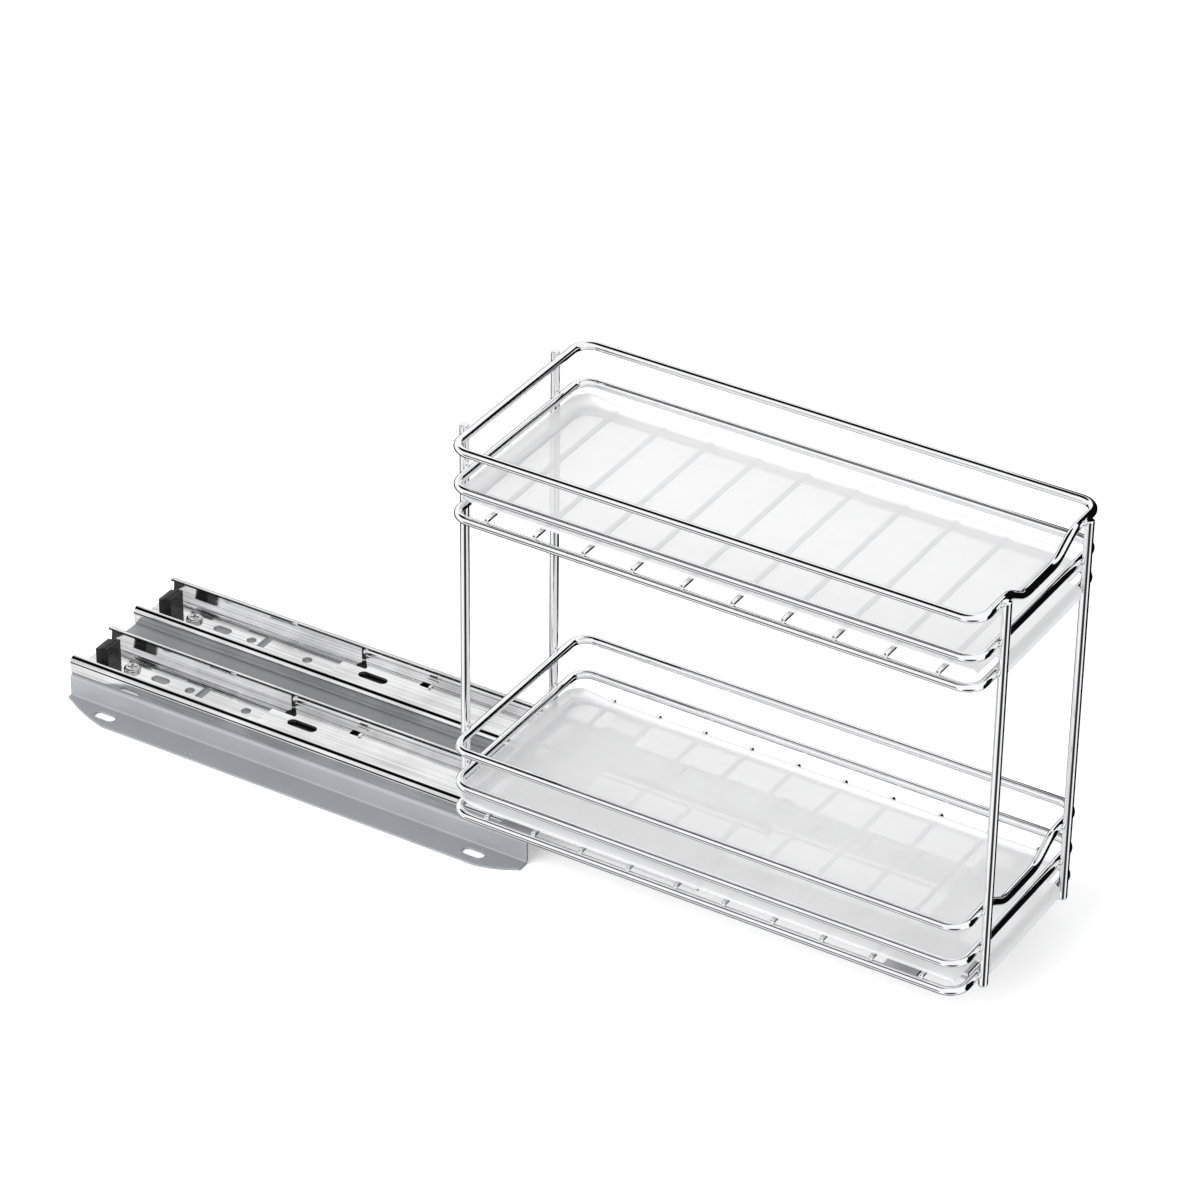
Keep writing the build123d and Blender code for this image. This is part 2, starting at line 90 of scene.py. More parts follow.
def gridFaces(rows, columns, wrapRows, wrapColumns):
    # face(i, j) joins vertices (i, j), (i, j + 1), (i + 1, j + 1) and (i + 1, j) of a grid
    i = np.arange(rows if wrapRows else rows - 1)[:, None]
    j = np.arange(columns if wrapColumns else columns - 1)[None, :]
    iNext, jNext = (i + 1) % rows, (j + 1) % columns
    quads = [i * columns + j, i * columns + jNext, iNext * columns + jNext, iNext * columns + j]
    return np.stack(quads, axis=-1).reshape(-1, 4)


def wireTube(points, tangents, radius, around=32):
    # point = path + radius * (cos a * side + sin a * lift), with side = up x tangent, lift = tangent x side
    side = np.cross([0, 0, 1], tangents)
    side /= np.linalg.norm(side, axis=1, keepdims=True)
    lift = np.cross(tangents, side)
    angles = np.linspace(0, 2 * np.pi, around, endpoint=False)
    ring = np.cos(angles)[None, :, None] * side[:, None] + np.sin(angles)[None, :, None] * lift[:, None]
    verts = points[:, None] + radius * ring
    return verts.reshape(-1, 3), gridFaces(len(points), around, True, True).tolist()


def turned(profile, base, around=32, along="z"):
    # point = base + r * (cos a, sin a) across the axis + h along it, for each (r, h) of the profile
    # the profile starts and ends on the axis, where one vertex closes the shape
    profile = np.array(profile, dtype=float)
    angles = np.linspace(0, 2 * np.pi, around, endpoint=False)
    rings = profile[1:-1]
    across = rings[:, None, :1] * np.stack([np.cos(angles), np.sin(angles)], axis=1)[None]
    heights = np.broadcast_to(rings[:, None, 1:], across.shape[:2] + (1,))
    verts = np.concatenate([across, heights], axis=2).reshape(-1, 3)
    poles = [[0, 0, profile[0, 1]], [0, 0, profile[-1, 1]]]
    verts = np.concatenate([verts, poles])
    faces = gridFaces(len(rings), around, False, True).tolist()
    step = np.arange(around)
    last = (len(rings) - 1) * around
    low = np.stack([np.full(around, len(verts) - 2), (step + 1) % around, step], axis=1)
    high = np.stack([np.full(around, len(verts) - 1), last + step, last + (step + 1) % around], axis=1)
    faces += low.tolist() + high.tolist()
    if along == "y":
        verts = verts[:, [1, 2, 0]]
    return verts + np.array(base), faces


def prism(outline, start, end, place):
    # point = place(u, v, w), for the outline's (u, v) at w = start and w = end
    # place keeps u, v, w right-handed and the outline runs counterclockwise
    outline = np.array(outline, dtype=float)
    count = len(outline)
    low = place(outline[:, 0], outline[:, 1], np.full(count, float(start)))
    high = place(outline[:, 0], outline[:, 1], np.full(count, float(end)))
    step = np.arange(count)
    after = (step + 1) % count
    sides = np.stack([step, after, after + count, step + count], axis=1).tolist()
    caps = [step[::-1].tolist(), (step + count).tolist()]
    return np.concatenate([low, high]), sides + caps


def alongX(middleY=0, level=0):
    # an outline in (y, z) drawn out along x
    def place(u, v, w):
        return np.stack([w, u + middleY, v + level], axis=1)
    return place


def alongY(u, v, w):
    # an outline in (z, x) drawn out along y
    return np.stack([v, w, u], axis=1)


def alongZ(middleY=0, level=0):
    # an outline in (x, y) drawn out along z
    def place(u, v, w):
        return np.stack([u, v + middleY, w + level], axis=1)
    return place


def sheetOutline(points, normals, sheet):
    # the closed outline of a bent sheet: its outer line, then the same line moved in by the sheet
    return np.concatenate([points, (points - sheet * normals)[::-1]])


def mirrored(points, normals):
    # a half outline is carried on to the other side of its middle line
    flip = np.array([-1, 1])
    return np.concatenate([(points * flip)[::-1], points]), np.concatenate([(normals * flip)[::-1], normals])


def slotOutline(center, length, width, steps=13):
    # two half circles of the slot's width, apart by its length less its width
    reach = (length - width) / 2
    right, _ = arc((center[0] + reach, center[1]), width / 2, -90, 90, steps)
    left, _ = arc((center[0] - reach, center[1]), width / 2, 90, 270, steps)
    return np.concatenate([right, left])


def roundOutline(center, radius, steps=40):
    outline, _ = arc(center, radius, 0, 360, steps + 1)
    return outline[:-1]


def boxOutline(low, high):
    return np.array([low, (high[0], low[1]), high, (low[0], high[1])], dtype=float)


def centeredBox(center, length, width):
    x, y = center
    return boxOutline((x - length / 2, y - width / 2), (x + length / 2, y + width / 2))


def joined(shapes):
    # several shapes in one mesh: each one's faces count on from the vertices before it
    verts, faces, offset = [], [], 0
    for shapeVerts, shapeFaces in shapes:
        verts.append(shapeVerts)
        faces += [[offset + corner for corner in face] for face in shapeFaces]
        offset += len(shapeVerts)
    return np.concatenate(verts), faces


# Pieces from shapes


def meshObject(name, shape):
    mesh = bpy.data.meshes.new(name)
    mesh.from_pydata((shape[0] * mm).tolist(), [], shape[1])
    mesh.validate()
    mesh.update()
    obj = bpy.data.objects.new(name, mesh)
    scene.collection.objects.link(obj)
    return obj


def settle(obj):
    # the modifiers' result becomes the mesh itself
    graph = bpy.context.evaluated_depsgraph_get()
    result = bpy.data.meshes.new_from_object(obj.evaluated_get(graph))
    before = obj.data
    obj.modifiers.clear()
    obj.data = result
    bpy.data.meshes.remove(before)


def cut(obj, shapes, operation="DIFFERENCE"):
    cutter = meshObject("cutter", joined(shapes))
    modifier = obj.modifiers.new("cut", "BOOLEAN")
    modifier.object = cutter
    modifier.operation = operation
    modifier.solver = "EXACT"
    bpy.context.view_layer.update()
    settle(obj)
    spare = cutter.data
    bpy.data.objects.remove(cutter)
    bpy.data.meshes.remove(spare)


def roundEdges(obj, width, sharpest=35, segments=2):
    modifier = obj.modifiers.new("edges", "BEVEL")
    modifier.width = width * mm
    modifier.segments = segments
    modifier.limit_method = "ANGLE"
    modifier.angle_limit = radians(sharpest)
    modifier.use_clamp_overlap = True
    bpy.context.view_layer.update()
    settle(obj)


def shadeSmooth(obj, sharpest=50):
    # smooth apart from edges that turn by more than sharpest degrees
    obj.data.shade_smooth()
    obj.data.set_sharp_from_angle(angle=radians(sharpest))


def weighNormals(obj, sharpest=50):
    # flat faces stay flat beside their rounded edges
    shadeSmooth(obj, sharpest)
    modifier = obj.modifiers.new("normals", "WEIGHTED_NORMAL")
    modifier.keep_sharp = True
    modifier.weight = 80


def fitPiece(obj, body, material, nodes):
    obj.data.materials.clear()
    obj.data.materials.append(material)
    for polygon in obj.data.polygons:
        polygon.material_index = 0
    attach(obj, body)
    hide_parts(*nodes)


# Materials


class Signal:
    # a socket that can be used in sums: each sum adds its Math node
    def __init__(self, sheet, socket):
        self.sheet = sheet
        self.socket = socket

    def math(self, operation, *values):
        return self.sheet.add("ShaderNodeMath", {"operation": operation}, dict(enumerate(values)))

    def __add__(self, other):
        return self.math("ADD", self, other)

    def __sub__(self, other):
        return self.math("SUBTRACT", self, other)

    def __mul__(self, other):
        return self.math("MULTIPLY", self, other)

    def __rsub__(self, other):
        return self.math("SUBTRACT", other, self)

    __radd__ = __add__
    __rmul__ = __mul__

    def between(self, low, high):
        # 0 at low and 1 at high, with a soft start and end
        settings = {"interpolation_type": "SMOOTHSTEP"}
        values = {"Value": self, "From Min": low, "From Max": high}
        return self.sheet.add("ShaderNodeMapRange", settings, values)


class NodeSheet:
    # one material's or world's node tree
    def __init__(self, owner):
        owner.use_nodes = True
        self.tree = owner.node_tree
        self.tree.nodes.clear()

    def add(self, kind, settings=None, inputs=None, output=0):
        node = self.tree.nodes.new(kind)
        for name, value in (settings or {}).items():
            setattr(node, name, value)
        for key, value in (inputs or {}).items():
            if isinstance(value, Signal):
                self.tree.links.new(value.socket, node.inputs[key])
            else:
                node.inputs[key].default_value = value
        return Signal(self, node.outputs[output]) if node.outputs else None

    def place(self):
        return self.add("ShaderNodeTexCoord", output="Object")

    def noise(self, scale, detail=2):
        values = {"Vector": self.place(), "Scale": scale, "Detail": detail, "Roughness": 0.5}
        return self.add("ShaderNodeTexNoise", {}, values)

    def streaks(self, scale, detail):
        # noise that is drawn out along x, with the scale given for each axis
        stretched = self.add("ShaderNodeMapping", {}, {"Vector": self.place(), "Scale": scale})
        values = {"Vector": stretched, "Scale": 1, "Detail": detail, "Roughness": 0.5}
        return self.add("ShaderNodeTexNoise", {}, values)

    def blend(self, share, first, second):
        values = {0: share, 6: first, 7: second}
        return self.add("ShaderNodeMix", {"data_type": "RGBA"}, values, output=2)

    def bump(self, height, strength, distance):
        values = {"Height": height, "Strength": strength, "Distance": distance}
        return self.add("ShaderNodeBump", {}, values)

    def surface(self, mask, look, others):
        # the main shader, with its color and roughness led by the mask
        values = {
            "Base Color": self.blend(mask.between(*look["toneRange"]), look["dull"], look["bright"]),
            "Metallic": look["metal"],
            "Roughness": look["polish"] + look["haze"] * mask.between(*look["hazeRange"]),
        }
        shader = self.add("ShaderNodeBsdfPrincipled", {}, {**values, **others})
        self.add("ShaderNodeOutputMaterial", {}, {"Surface": shader})


def startMaterial(name):
    material = bpy.data.materials.new(name)
    return material, NodeSheet(material)


def gray(level):
    # a gray that is very slightly blue
    return (level, level, level * 1.005, 1)


# In each look below, the color goes from dull to bright where the material's noise goes through toneRange, and
# the roughness from polish to polish + haze where it goes through hazeRange


def makeChromeWire():
    look = {"bright": gray(0.95), "dull": gray(0.91), "toneRange": (0.35, 0.65), "metal": 1,
            "polish": 0.03, "haze": 0.02, "hazeRange": (0.45, 0.75), "cloudScale": 60,
            "waveScale": 180, "wave": 0.015, "waveHeight": 0.0004}
    material, sheet = startMaterial("chromeWire")
    cloud = sheet.noise(look["cloudScale"], 3)
    ripple = sheet.noise(look["waveScale"])
    sheet.surface(cloud, look, {"Normal": sheet.bump(ripple, look["wave"], look["waveHeight"])})
    return material


def makeSlideSteel():
    look = {"bright": gray(0.92), "dull": gray(0.6), "toneRange": (0.35, 0.65), "metal": 1,
            "polish": 0.06, "haze": 0.06, "hazeRange": (0.4, 0.7), "cloudScale": 45,
            "streakScale": (12, 900, 900), "streakShare": 0.6, "grain": 0.1, "grainHeight": 0.0003}
    material, sheet = startMaterial("slideSteel")
    streaks = sheet.streaks(look["streakScale"], 3)
    cloud = sheet.noise(look["cloudScale"], 3)
    mixed = streaks * look["streakShare"] + cloud * (1 - look["streakShare"])
    sheet.surface(mixed, look, {"Normal": sheet.bump(streaks, look["grain"], look["grainHeight"])})
    return material


def makeBracketSteel():
    look = {"bright": (0.37, 0.388, 0.405, 1), "dull": (0.34, 0.357, 0.373, 1), "toneRange": (0.3, 0.7),
            "metal": 0.3, "polish": 0.38, "haze": 0.08, "hazeRange": (0.4, 0.7), "cloudScale": 30,
            "streakScale": (10, 300, 300), "grain": 0.05, "grainHeight": 0.0003}
    material, sheet = startMaterial("bracketSteel")
    streaks = sheet.streaks(look["streakScale"], 2)
    cloud = sheet.noise(look["cloudScale"], 4)
    sheet.surface(cloud, look, {"Normal": sheet.bump(streaks, look["grain"], look["grainHeight"])})
    return material


def makeScrewSteel():
    look = {"bright": gray(0.7), "dull": gray(0.42), "toneRange": (0.35, 0.65), "metal": 1,
            "polish": 0.1, "haze": 0.06, "hazeRange": (0.4, 0.7), "cloudScale": 400,
            "grain": 0.05, "grainHeight": 0.0003}
    material, sheet = startMaterial("screwSteel")
    cloud = sheet.noise(look["cloudScale"], 3)
    sheet.surface(cloud, look, {"Normal": sheet.bump(cloud, look["grain"], look["grainHeight"])})
    return material


def makeBallSteel():
    look = {"bright": gray(0.85), "dull": gray(0.78), "toneRange": (0.35, 0.65), "metal": 1,
            "polish": 0.06, "haze": 0.05, "hazeRange": (0.4, 0.7), "cloudScale": 500}
    material, sheet = startMaterial("ballSteel")
    sheet.surface(sheet.noise(look["cloudScale"]), look, {})
    return material


def makeBlackPlastic():
    look = {"bright": gray(0.006), "dull": gray(0.003), "toneRange": (0.3, 0.7), "metal": 0, "gloss": 0.3,
            "polish": 0.18, "haze": 0.1, "hazeRange": (0.3, 0.7), "cloudScale": 120,
            "grainScale": 2200, "grain": 0.12, "grainHeight": 0.0002}
    material, sheet = startMaterial("blackPlastic")
    grain = sheet.noise(look["grainScale"])
    cloud = sheet.noise(look["cloudScale"])
    bumps = sheet.bump(grain, look["grain"], look["grainHeight"])
    sheet.surface(cloud, look, {"Specular IOR Level": look["gloss"], "Normal": bumps})
    return material


def makeFrostedLiner():
    look = {"bright": gray(0.94), "dull": gray(0.92), "toneRange": (0.3, 0.7), "metal": 0,
            "polish": 0.42, "haze": 0.12, "hazeRange": (0.3, 0.7), "cloudScale": 25,
            "clear": 0.59, "milky": 0.64, "grainScale": 1500, "grain": 0.1, "grainHeight": 0.0002}
    material, sheet = startMaterial("frostedLiner")
    grain = sheet.noise(look["grainScale"])
    cloud = sheet.noise(look["cloudScale"], 3)
    milk = look["clear"] + (look["milky"] - look["clear"]) * cloud.between(*look["toneRange"])
    bumps = sheet.bump(grain, look["grain"], look["grainHeight"])
    sheet.surface(cloud, look, {"Alpha": milk, "Normal": bumps})
    return material


chromeWire = makeChromeWire()
slideSteel = makeSlideSteel()
bracketSteel = makeBracketSteel()
screwSteel = makeScrewSteel()
ballSteel = makeBallSteel()
blackPlastic = makeBlackPlastic()
frostedLiner = makeFrostedLiner()
print("materials are ready")


# Bracket: a hat-shaped sheet with its flanges cut back at both ends
bracket = {
    "length": 250, "width": 112, "webWidth": 85, "height": 12, "sheet": 1.2, "bend": 0.8,
    "rearCut": (27, 11.6), "frontCut": (19, 8), "cutBulge": 1.2,
    "slotX": 101, "slotY": 49, "slotLength": 11, "slotWidth": 5,
    "screwX": 102, "screwHole": 2.1, "edge": 0.18,
}


def endCurve(first, last, bulge, steps=15):
    # a straight line from first to last with a sine-shaped bulge across it
    first, last = np.array(first, dtype=float), np.array(last, dtype=float)
    share = np.linspace(0, 1, steps)[:, None]
    across = np.array([0, 1.0])
    return first + share * (last - first) + bulge * np.sin(np.pi * share) * across


def makeBracket():
    b = bracket
    half, edge = b["length"] / 2, b["width"] / 2
    inside = b["webWidth"] / 2 - b["sheet"]
    under = b["height"] - b["sheet"]
    corners = [(-edge, 0), (-inside, 0), (-inside, under), (inside, under), (inside, 0), (edge, 0)]
    flangeBend = b["bend"] + b["sheet"]
    radii = [0, flangeBend, b["bend"], b["bend"], flangeBend, 0]
    line, heading = bentPath(corners, radii, False, steps=10)
    upward = np.stack([-heading[:, 1], heading[:, 0]], axis=1)
    outline = sheetOutline(line, -upward, b["sheet"])
    obj = meshObject("base_bracket_sheet", prism(outline, -half, half, alongX()))
    rearTip = (-half, edge - b["rearCut"][1])
    rearFull = (-half + b["rearCut"][0], edge)
    frontFull = (half - b["frontCut"][0], edge)
    frontTip = (half, edge - b["frontCut"][1])
    farEdge = np.concatenate([
        endCurve(frontTip, frontFull, b["cutBulge"]), endCurve(rearFull, rearTip, b["cutBulge"])])
    farEdge[[0, -1], 0] = [half + past, -half - past]  # the plan runs on past both ends of the sheet
    plan = np.concatenate([farEdge, farEdge[::-1] * [1, -1]])
    cut(obj, [prism(plan, -past, b["height"] + past, alongZ())], "INTERSECT")
    holes = []
    for x in (-1, 1):
        for y in (-1, 1):
            slotCut = slotOutline((x * b["slotX"], y * b["slotY"]), b["slotLength"], b["slotWidth"])
            holes.append(prism(slotCut, -past, b["sheet"] + past, alongZ()))
            screwCut = roundOutline((x * b["screwX"], y * slideSides["far"]), b["screwHole"])
            holes.append(prism(screwCut, under - past, b["height"] + past, alongZ()))
    cut(obj, holes)
    roundEdges(obj, b["edge"])
    weighNormals(obj)
    fitPiece(obj, "base", bracketSteel, ["base_bracket"])


makeBracket()
print("bracket is made")


# Outer members: a channel whose sides lean out and curl over the balls; heights are from the bracket's top
outer = {
    "length": 250, "sheet": 1.2, "bendCenter": (15, 1.4), "bend": 1.4, "edge": 0.14,
    "raceCenter": (14.1325, 6.2325), "race": 1.6675, "lip": 13.3, "screwInset": 23, "screwHole": 2.1,
    "slotAt": 39, "slotLength": 9.5, "slotWidth": 5, "holesAt": (55.5, 87), "hole": 2.35,
    "lanceAt": 63.8, "lanceWidth": 4, "lanceNear": -2.5, "lanceFar": 6.8, "lanceReturn": 14, "returnWidth": 1.2,
    "notchAt": 71, "notchLength": 3, "notchWidth": 1.2, "notchLow": 6.6, "notchHigh": 10, "cutOver": 0.6,
}


def outerOutline():
    # the wall is the straight line that touches the bend's circle and the race's circle from outside
    m = outer
    bendCenter, raceCenter = np.array(m["bendCenter"]), np.array(m["raceCenter"])
    raceOutside = m["race"] + m["sheet"]
    apart = raceCenter - bendCenter
    distance = np.linalg.norm(apart)
    lean = atan2(apart[1], apart[0]) - np.arccos((m["bend"] - raceOutside) / distance)
    lean = np.degrees(lean)
    lipAngle = np.degrees(np.arccos((m["lip"] - raceCenter[0]) / raceOutside))
    bendPoints, bendNormals = arc(bendCenter, m["bend"], -90, lean, 9)
    racePoints, raceNormals = arc(raceCenter, raceOutside, lean, lipAngle, 22)
    half = np.concatenate([bendPoints, racePoints])
    halfNormals = np.concatenate([bendNormals, raceNormals])
    points, normals = mirrored(half, halfNormals)
    return sheetOutline(points, normals, m["sheet"])


def makeOuterMember(side, slideY):
    m = outer
    rear, front = -m["length"] / 2, m["length"] / 2
    top = bracket["height"]
    shape = prism(outerOutline(), rear, front, alongX(slideY, top))
    obj = meshObject("outer_channel_" + side, shape)
    outlines = [roundOutline((rear + m["screwInset"], 0), m["screwHole"]),
                roundOutline((front - m["screwInset"], 0), m["screwHole"]),
                slotOutline((rear + m["slotAt"], 0), m["slotLength"], m["slotWidth"])]
    outlines += [roundOutline((rear + at, 0), m["hole"]) for at in m["holesAt"]]
    lanceX = rear + m["lanceAt"]
    nearX, farX = lanceX - m["lanceWidth"], lanceX - m["lanceReturn"]
    returnY = m["lanceFar"] - m["returnWidth"]
    outlines.append([(nearX, m["lanceNear"]), (lanceX, m["lanceNear"]), (lanceX, m["lanceFar"]),
                     (farX, m["lanceFar"]), (farX, returnY), (nearX, returnY)])
    place = alongZ(slideY, top)
    floorCuts = [prism(outline, -past, m["sheet"] + m["cutOver"], place) for outline in outlines]
    notch = centeredBox((rear + m["notchAt"], m["lip"]), m["notchLength"], m["notchWidth"])
    cut(obj, floorCuts + [prism(notch, m["notchLow"], m["notchHigh"], place)])
    roundEdges(obj, m["edge"])
    weighNormals(obj)
    fitPiece(obj, "base", slideSteel, ["outer_member_" + side])


for side, slideY in slideSides.items():
    makeOuterMember(side, slideY)
print("outer members are made")


# Middle members: a channel with a groove inside and outside each flange, and a tongue at the rear
middle = {
    "length": 236, "rear": {"near": -26.2, "far": -20.7}, "floor": 3.2, "sheet": 1.2, "edge": 0.14,
    "width": 25.8, "wall": 1.4, "top": 8.3, "corner": 0.6, "insideRace": (10.47, 6.75, 1.33),
    "lead": 1.7, "tongue": 7.8, "tongueWidth": 8.4, "notchDepth": 4.6, "notchWidth": 1.7,
    "slotAt": 19.4, "slotLength": 15.4, "slotWidth": 5,
    "stopAt": 43.4, "stopY": 8, "stopLength": 5, "stopWidth": 3.6, "stopTop": 5.2,
    "stopOverlap": 0.02,
}


def middleOutline():
    # the outer wall with the outer race's arc cut in, the inner wall with the inner race's arc cut in
    m = middle
    outside, inside = m["width"] / 2, m["width"] / 2 - m["wall"]
    raceY, raceZ, raceR = outer["raceCenter"][0], outer["raceCenter"][1], outer["race"]
    innerY, innerZ, innerR = m["insideRace"]
    corner, _ = arc((outside - m["corner"], m["floor"] + m["corner"]), m["corner"], -90, 0, 6)
    open1 = np.degrees(np.arccos((raceY - outside) / raceR))
    groove, _ = arc((raceY, raceZ), raceR, 180 + open1, 180 - open1, 12)
    open2 = np.degrees(np.arccos((inside - innerY) / innerR))
    channel, _ = arc((innerY, innerZ), innerR, open2, -open2, 9)
    tips = np.array([(outside, m["top"]), (inside, m["top"])])
    foot = np.array([(inside, m["floor"] + m["sheet"])])
    half = np.concatenate([corner, groove, tips, channel, foot])
    return np.concatenate([half, (half * [-1, 1])[::-1]])


def makeMiddleMember(side, slideY):
    m = middle
    rear = m["rear"][side]
    front = rear + m["length"]
    top = bracket["height"]
    flangeX = rear + m["tongue"]
    shape = prism(middleOutline(), rear - m["lead"], front, alongX(slideY, top))
    obj = meshObject("middle_channel_" + side, shape)
    place = alongZ(slideY, top)
    wallY, notchY = m["width"] / 2 - m["wall"], m["tongueWidth"] / 2
    endX, endY = rear - m["lead"] - past, m["width"]
    beside = [(endX, -wallY), (rear, -wallY), (rear, notchY), (flangeX, notchY), (flangeX, endY), (endX, endY)]
    cut(obj, [prism(beside, m["floor"] - past, m["top"] + past, place)])
    notchX = flangeX + m["notchDepth"]
    notch = np.array([(flangeX - past, notchY), (notchX, notchY), (notchX, notchY + m["notchWidth"]),
                      (flangeX, wallY), (flangeX - past, wallY)])
    cuts = [notch, slotOutline((rear + m["slotAt"], 0), m["slotLength"], m["slotWidth"])]
    stopX, stopEnd = rear + m["stopAt"], rear + m["stopAt"] + m["stopLength"] / 2
    cuts.append(centeredBox((stopX, m["stopY"]), m["stopLength"], m["stopWidth"]))
    cut(obj, [prism(outline, m["floor"] - past, m["floor"] + m["sheet"] + past, place) for outline in cuts])
    tab = boxOutline((stopEnd - m["stopOverlap"], m["stopY"] - m["stopWidth"] / 2),
                     (stopEnd + m["sheet"], m["stopY"] + m["stopWidth"] / 2))
    cut(obj, [prism(tab, m["floor"], m["stopTop"], place)], "UNION")
    roundEdges(obj, m["edge"])
    weighNormals(obj)
    fitPiece(obj, "middle_" + side, slideSteel, ["middle_member_" + side])


for side, slideY in slideSides.items():
    makeMiddleMember(side, slideY)
print("middle members are made")


# Inner members: an inverted channel with a groove along each side
inner = {
    "length": 250, "rear": 91, "width": 19, "bottom": 5.6, "top": 9.4, "sheet": 1.2, "corner": 0.6,
    "screws": (123, 316), "screwHole": 2.1, "edge": 0.14,
}


def innerOutline():
    m = inner
    outside, inside = m["width"] / 2, m["width"] / 2 - m["sheet"]
    innerY, innerZ, innerR = middle["insideRace"]
    open1 = np.degrees(np.arccos((innerY - outside) / innerR))
    groove, _ = arc((innerY, innerZ), innerR, 180 + open1, 180 - open1, 10)
    groove = groove[groove[:, 1] > m["bottom"]]
    corner, _ = arc((outside - m["corner"], m["top"] - m["corner"]), m["corner"], 0, 90, 6)
    foot = np.array([(inside, m["top"] - m["sheet"]), (inside, m["bottom"]), (groove[0, 0], m["bottom"])])
    half = np.concatenate([foot, groove, corner])
    return np.concatenate([half, (half * [-1, 1])[::-1]])


def makeInnerMember(side, slideY):
    m = inner
    top = bracket["height"]
    shape = prism(innerOutline(), m["rear"], m["rear"] + m["length"], alongX(slideY, top))
    obj = meshObject("inner_channel_" + side, shape)
    place = alongZ(slideY, top)
    holes = [roundOutline((x, 0), m["screwHole"]) for x in m["screws"]]
    cut(obj, [prism(hole, m["bottom"], m["top"] + past, place) for hole in holes])
    roundEdges(obj, m["edge"])
    weighNormals(obj)
    fitPiece(obj, "rack", slideSteel, ["inner_member_" + side])


for side, slideY in slideSides.items():
    makeInnerMember(side, slideY)
print("inner members are made")


# Ball cages and balls; the strip's floor has rounded ends between its two sides
cages = {
    "outer": {"length": 93, "rear": {"near": -22.2, "far": -16.7}, "floor": 1.6, "top": 7.6, "sheet": 0.6,
              "rowY": 14.1325, "rowZ": 6.2325, "ball": 3.175, "pitch": 8, "count": 12},
    "inner": {"length": 78, "rear": {"near": 111.4, "far": 114.15}, "floor": 4.7, "top": 7.7, "sheet": 0.5,
              "rowY": 10.47, "rowZ": 6.75, "ball": 2.5, "pitch": 8, "count": 10},
    "web": {"setback": 1, "gap": 2, "corner": 3.5, "endCut": 5, "cutOver": 0.4},
    "ballPlay": 0.08, "edge": 0.06,
}


def cageEndCuts(c, rear):
    # at each end the floor between the sides goes, outside a half-rounded tab with two quarter arcs
    w = cages["web"]
    inside = c["rowY"] - c["sheet"] / 2
    half = c["rowY"] - w["gap"]
    bendX, bendY = w["setback"] + w["corner"], half - w["corner"]
    farArc, _ = arc((bendX, bendY), w["corner"], 180, 90, 9)
    nearArc, _ = arc((bendX, -bendY), w["corner"], 270, 180, 9)
    tab = np.concatenate([[(w["endCut"], -half)], nearArc, farArc, [(w["endCut"], half)]])
    around = [(w["endCut"], inside), (-past, inside), (-past, -inside), (w["endCut"], -inside)]
    outline = np.concatenate([tab, around])
    return [outline + [rear, 0], (outline * [-1, 1])[::-1] + [rear + c["length"], 0]]


def makeCage(kind, side, slideY):
    c = cages[kind]
    top = bracket["height"]
    rear = c["rear"][side]
    outside = c["rowY"] + c["sheet"] / 2
    inside = outside - c["sheet"]
    outline = [(-outside, c["floor"]), (outside, c["floor"]), (outside, c["top"]), (inside, c["top"]),
               (inside, c["floor"] + c["sheet"]), (-inside, c["floor"] + c["sheet"]), (-inside, c["top"]),
               (-outside, c["top"])]
    shape = prism(outline, rear, rear + c["length"], alongX(slideY, top))
    obj = meshObject(kind + "_cage_strip_" + side, shape)
    rowX = rear + c["length"] / 2 + (np.arange(c["count"]) - (c["count"] - 1) / 2) * c["pitch"]
    cutTop = c["floor"] + c["sheet"] + cages["web"]["cutOver"]
    pockets = [prism(end, c["floor"] - past, cutTop, alongZ(slideY, top)) for end in cageEndCuts(c, rear)]
    for x in rowX:
        ring = roundOutline((top + c["rowZ"], x), c["ball"] / 2 + cages["ballPlay"], 24)
        for sideY in (-c["rowY"], c["rowY"]):
            pockets.append(prism(ring, slideY + sideY - past, slideY + sideY + past, alongY))
    cut(obj, pockets)
    roundEdges(obj, cages["edge"], segments=1)
    weighNormals(obj)
    fitPiece(obj, kind + "_cage_" + side, blackPlastic, [kind + "_cage_" + side])
    tilt = np.linspace(-np.pi / 2, np.pi / 2, 13)
    profile = np.stack([np.cos(tilt), np.sin(tilt)], axis=1) * c["ball"] / 2
    balls = [turned(profile, (x, slideY + sideY, top + c["rowZ"]), around=20)
             for x in rowX for sideY in (-c["rowY"], c["rowY"])]
    row = meshObject(kind + "_ball_row_" + side, joined(balls))
    row.data.shade_smooth()
    fitPiece(row, kind + "_cage_" + side, ballSteel, [kind + "_balls_" + side])


for side, slideY in slideSides.items():
    makeCage("outer", side, slideY)
    makeCage("inner", side, slideY)
print("ball cages are made")


# Bumpers: black stops with a sloped rear and a groove across the top
bumper = {"rear": -119, "length": 7, "width": 10, "floor": 1.2, "top": 11.6, "topLength": 3.2,
          "slopeLength": 1.3, "slopeDrop": 1.4, "stepDrop": 0.3, "groove": 0.4, "edge": 0.7}


